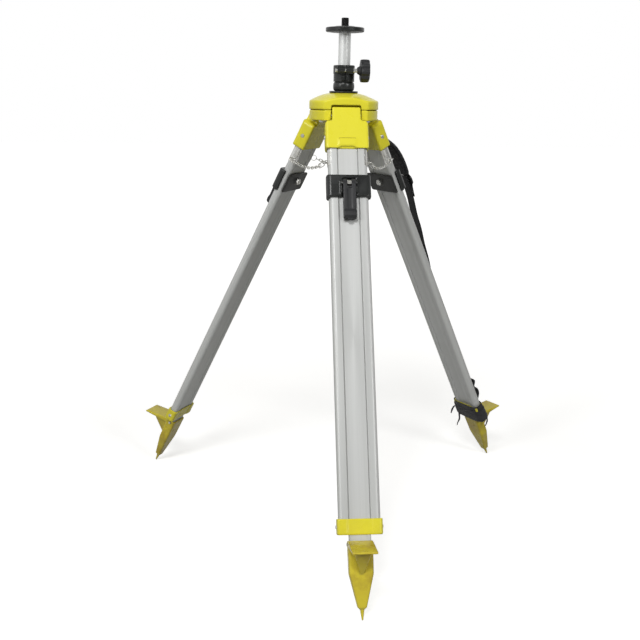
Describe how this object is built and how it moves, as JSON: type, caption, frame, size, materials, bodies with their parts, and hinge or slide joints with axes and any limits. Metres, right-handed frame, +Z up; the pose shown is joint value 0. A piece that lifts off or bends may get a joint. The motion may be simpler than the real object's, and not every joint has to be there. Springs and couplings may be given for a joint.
{
  "type": "surveying tripod",
  "caption": "Surveying tripod: domed head with elevating column, round instrument platform and stud, telescopic legs with lever clamps, pointed feet with tread plates, chains and strap.",
  "frame": {"origin": "on the ground plane through the three foot points, on the column's axis", "axes": "+Z up the column, front leg towards -Y, right leg at azimuth +30 degrees, left leg at +150 degrees"},
  "size_m": [0.9568, 0.8287, 1.1156],
  "materials": {
    "yellow": "gloss lemon-yellow enamel on castings",
    "aluminium": "satin anodised",
    "black_casting": "semi-gloss black",
    "black_plastic": "moulded",
    "steel": "bright zinc",
    "black_steel": "blackened steel thread",
    "webbing": "woven black"
  },
  "bodies": {
    "head": {"head_dome": "yellow", "hinge_caps": "yellow", "cap_bolts": "steel", "hinge_pins": "steel", "collar_body": "black_casting", "height_ring": "black_casting", "clamp_ring": "black_casting", "clamp_screw": "steel", "chain_right": "steel", "chain_rear": "steel", "chain_left": "steel"},
    "knob": {"clamp_knob": "black_plastic"},
    "bush": {"column_bush": "black_plastic"},
    "column": {"column_tube": "aluminium", "column_stop": "black_plastic", "platform_disc": "black_casting", "instrument_stud": "black_steel"},
    "upper_leg_front": {"shoulder_front": "yellow", "rails_front": "aluminium", "end_cap_front": "yellow", "leg_screws_front": "steel", "chain_eyes_front": "steel"},
    "lower_leg_front": {"centre_bar_front": "aluminium", "clamp_band_front": "black_casting", "clamp_plate_front": "black_casting", "clamp_bolt_front": "steel", "lever_pin_front": "steel", "foot_front": "yellow", "foot_pin_front": "steel"},
    "clamp_lever_front": {"lever_front": "black_plastic"},
    "upper_leg_right": {"shoulder_right": "yellow", "rails_right": "aluminium", "end_cap_right": "yellow", "leg_screws_right": "steel", "chain_eyes_right": "steel", "strap_pad": "webbing", "strap_slider": "black_plastic", "strap_webbing": "webbing"},
    "lower_leg_right": {"centre_bar_right": "aluminium", "clamp_band_right": "black_casting", "clamp_plate_right": "black_casting", "clamp_bolt_right": "steel", "lever_pin_right": "steel", "foot_right": "yellow", "foot_pin_right": "steel"},
    "clamp_lever_right": {"lever_right": "black_plastic"},
    "upper_leg_left": {"shoulder_left": "yellow", "rails_left": "aluminium", "end_cap_left": "yellow", "leg_screws_left": "steel", "chain_eyes_left": "steel"},
    "lower_leg_left": {"centre_bar_left": "aluminium", "clamp_band_left": "black_casting", "clamp_plate_left": "black_casting", "clamp_bolt_left": "steel", "lever_pin_left": "steel", "foot_left": "yellow", "foot_pin_left": "steel"},
    "clamp_lever_left": {"lever_left": "black_plastic"}
  },
  "joints": [
    {"name": "leg_hinge_front", "type": "hinge", "parent": "head", "child": "upper_leg_front", "pos_m": [0, -0.052, 0.91651], "axis": [1, 0, 0], "range_deg": [0, 27.3], "deforming": ["chain_right", "chain_left"]},
    {"name": "leg_extend_front", "type": "slide", "parent": "upper_leg_front", "child": "lower_leg_front", "axis": [0, -0.4617, -0.887], "range_m": [0, 0.6]},
    {"name": "lever_swing_front", "type": "hinge", "parent": "lower_leg_front", "child": "clamp_lever_front", "pos_m": [0, -0.14358, 0.78606], "axis": [-1, 0, 0], "range_deg": [0, 100]},
    {"name": "leg_hinge_right", "type": "hinge", "parent": "head", "child": "upper_leg_right", "pos_m": [0.04503, 0.026, 0.91651], "axis": [-0.5, 0.866, 0], "range_deg": [0, 27.3], "deforming": ["chain_right", "chain_rear"]},
    {"name": "leg_extend_right", "type": "slide", "parent": "upper_leg_right", "child": "lower_leg_right", "axis": [0.3999, 0.2309, -0.887], "range_m": [0, 0.6], "deforming": ["strap_webbing"]},
    {"name": "lever_swing_right", "type": "hinge", "parent": "lower_leg_right", "child": "clamp_lever_right", "pos_m": [0.12435, 0.07179, 0.78606], "axis": [0.5, -0.866, 0], "range_deg": [0, 100], "deforming": ["strap_pad", "strap_slider", "strap_webbing"]},
    {"name": "leg_hinge_left", "type": "hinge", "parent": "head", "child": "upper_leg_left", "pos_m": [-0.04503, 0.026, 0.91651], "axis": [-0.5, -0.866, 0], "range_deg": [0, 27.3], "deforming": ["chain_rear", "chain_left"]},
    {"name": "leg_extend_left", "type": "slide", "parent": "upper_leg_left", "child": "lower_leg_left", "axis": [-0.3999, 0.2309, -0.887], "range_m": [0, 0.6]},
    {"name": "lever_swing_left", "type": "hinge", "parent": "lower_leg_left", "child": "clamp_lever_left", "pos_m": [-0.12435, 0.07179, 0.78606], "axis": [0.5, 0.866, 0], "range_deg": [0, 100]},
    {"name": "column_turn", "type": "hinge", "parent": "head", "child": "bush", "pos_m": [0, 0, 0.963], "axis": [0, 0, 1], "continuous": true},
    {"name": "column_slide", "type": "slide", "parent": "bush", "child": "column", "axis": [0, 0, 1], "range_m": [-0.053, 0.13]},
    {"name": "knob_turn", "type": "hinge", "parent": "head", "child": "knob", "pos_m": [0.0325, -0.022, 1.00901], "axis": [1, 0, 0], "range_deg": [-360, 360]}
  ]
}
